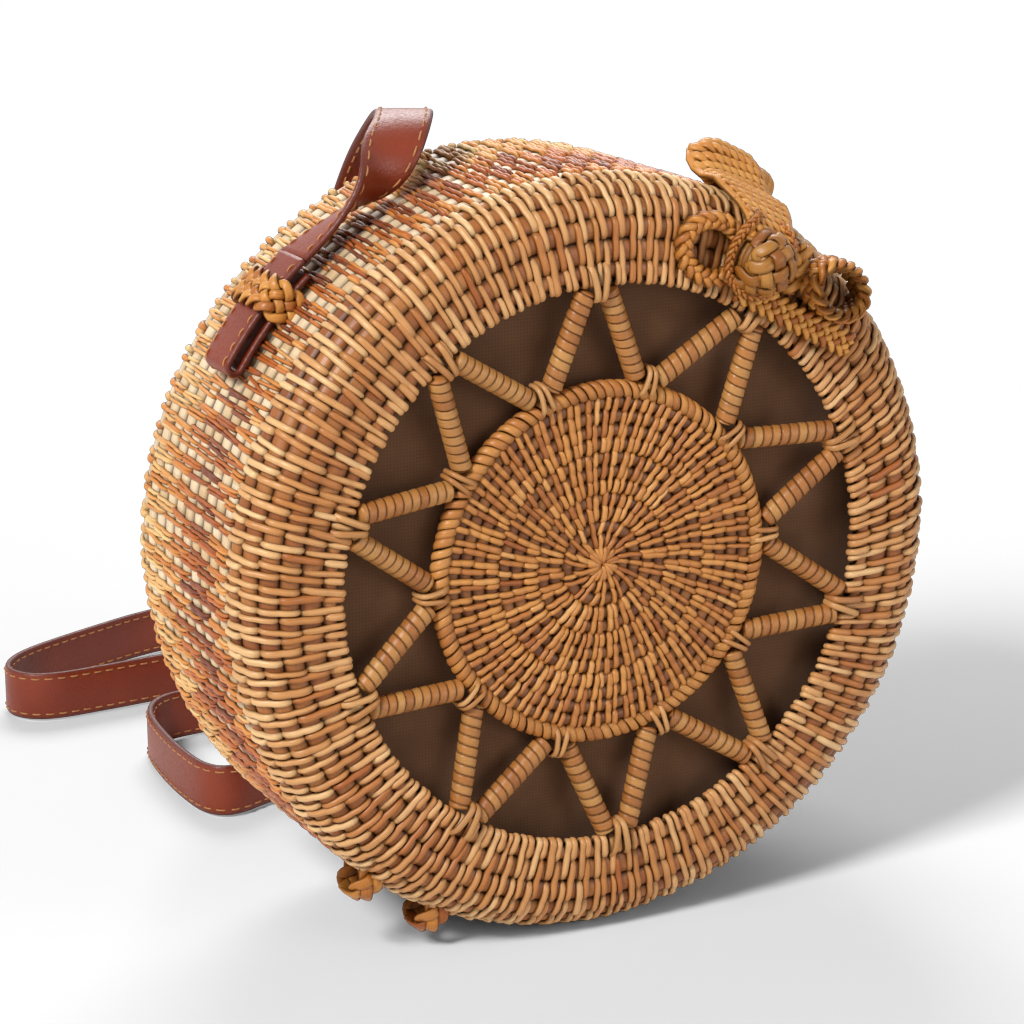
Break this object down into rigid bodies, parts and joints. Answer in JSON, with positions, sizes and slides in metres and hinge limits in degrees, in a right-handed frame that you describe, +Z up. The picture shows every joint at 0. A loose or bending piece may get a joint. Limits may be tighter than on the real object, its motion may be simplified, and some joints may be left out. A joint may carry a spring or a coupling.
{
  "type": "circle bag",
  "caption": "Round woven cane shoulder bag with an openwork star front that hinges open, a plaited bow and loop closure, cloth lining and a flat leather strap.",
  "frame": {"origin": "on the floor under the middle of the bag, midway between the bow's front and the back face", "axes": "+Z up; +Y along the drum's axis, towards the back; the star front and its bow face -Y"},
  "size_m": [0.2198, 0.2989, 0.212],
  "materials": {
    "woven_cane": "satin coiled cane",
    "wrapped_rod": "satin wrapped cane",
    "cane_lashing": "satin split cane",
    "plaited_cane": "satin plaited cane",
    "brown_cloth": "matt plain weave",
    "strap_leather": "semi-gloss grained"
  },
  "bodies": {
    "shell": {"barrel_wall": "woven_cane", "back_rim": "woven_cane", "back_panel": "woven_cane", "body_lining_wall": "brown_cloth", "body_lining_base": "brown_cloth", "hinge_ring_1": "plaited_cane", "hinge_ring_2": "plaited_cane", "strap_keeper_left": "plaited_cane", "strap_keeper_right": "plaited_cane", "strap_end_left": "strap_leather", "strap_end_right": "strap_leather", "strap": "strap_leather", "closure_anchor": "plaited_cane"},
    "lid": {"lid_ring": "woven_cane", "star_rod_01": "wrapped_rod", "star_rod_02": "wrapped_rod", "star_rod_03": "wrapped_rod", "star_rod_04": "wrapped_rod", "star_rod_05": "wrapped_rod", "star_rod_06": "wrapped_rod", "star_rod_07": "wrapped_rod", "star_rod_08": "wrapped_rod", "star_rod_09": "wrapped_rod", "star_rod_10": "wrapped_rod", "star_rod_11": "wrapped_rod", "star_rod_12": "wrapped_rod", "star_rod_13": "wrapped_rod", "star_rod_14": "wrapped_rod", "star_rod_15": "wrapped_rod", "star_rod_16": "wrapped_rod", "star_rod_17": "wrapped_rod", "star_rod_18": "wrapped_rod", "star_rod_19": "wrapped_rod", "star_rod_20": "wrapped_rod", "outer_lashings": "cane_lashing", "inner_lashings": "cane_lashing", "medallion": "woven_cane", "lid_lining": "brown_cloth", "bow_base": "plaited_cane", "bow_knot": "plaited_cane", "bow_ear_left": "plaited_cane", "bow_ear_right": "plaited_cane", "bow_tail": "plaited_cane"},
    "closure": {"closure_loop": "plaited_cane"}
  },
  "joints": [
    {"name": "lid_hinge", "type": "hinge", "parent": "shell", "child": "lid", "pos_m": [-0.05484, -0.01785, 0.0162], "axis": [0.8368, 0, -0.5476], "range_deg": [0, 115]},
    {"name": "loop_lift", "type": "hinge", "parent": "shell", "child": "closure", "pos_m": [0.04694, -0.00785, 0.19415], "axis": [-0.8949, 0, 0.4462], "range_deg": [0, 105], "deforming": ["closure_loop"]}
  ],
  "couplings": [
    {"joint": "loop_lift", "follows": "lid_hinge", "ratio": 0.9}
  ]
}
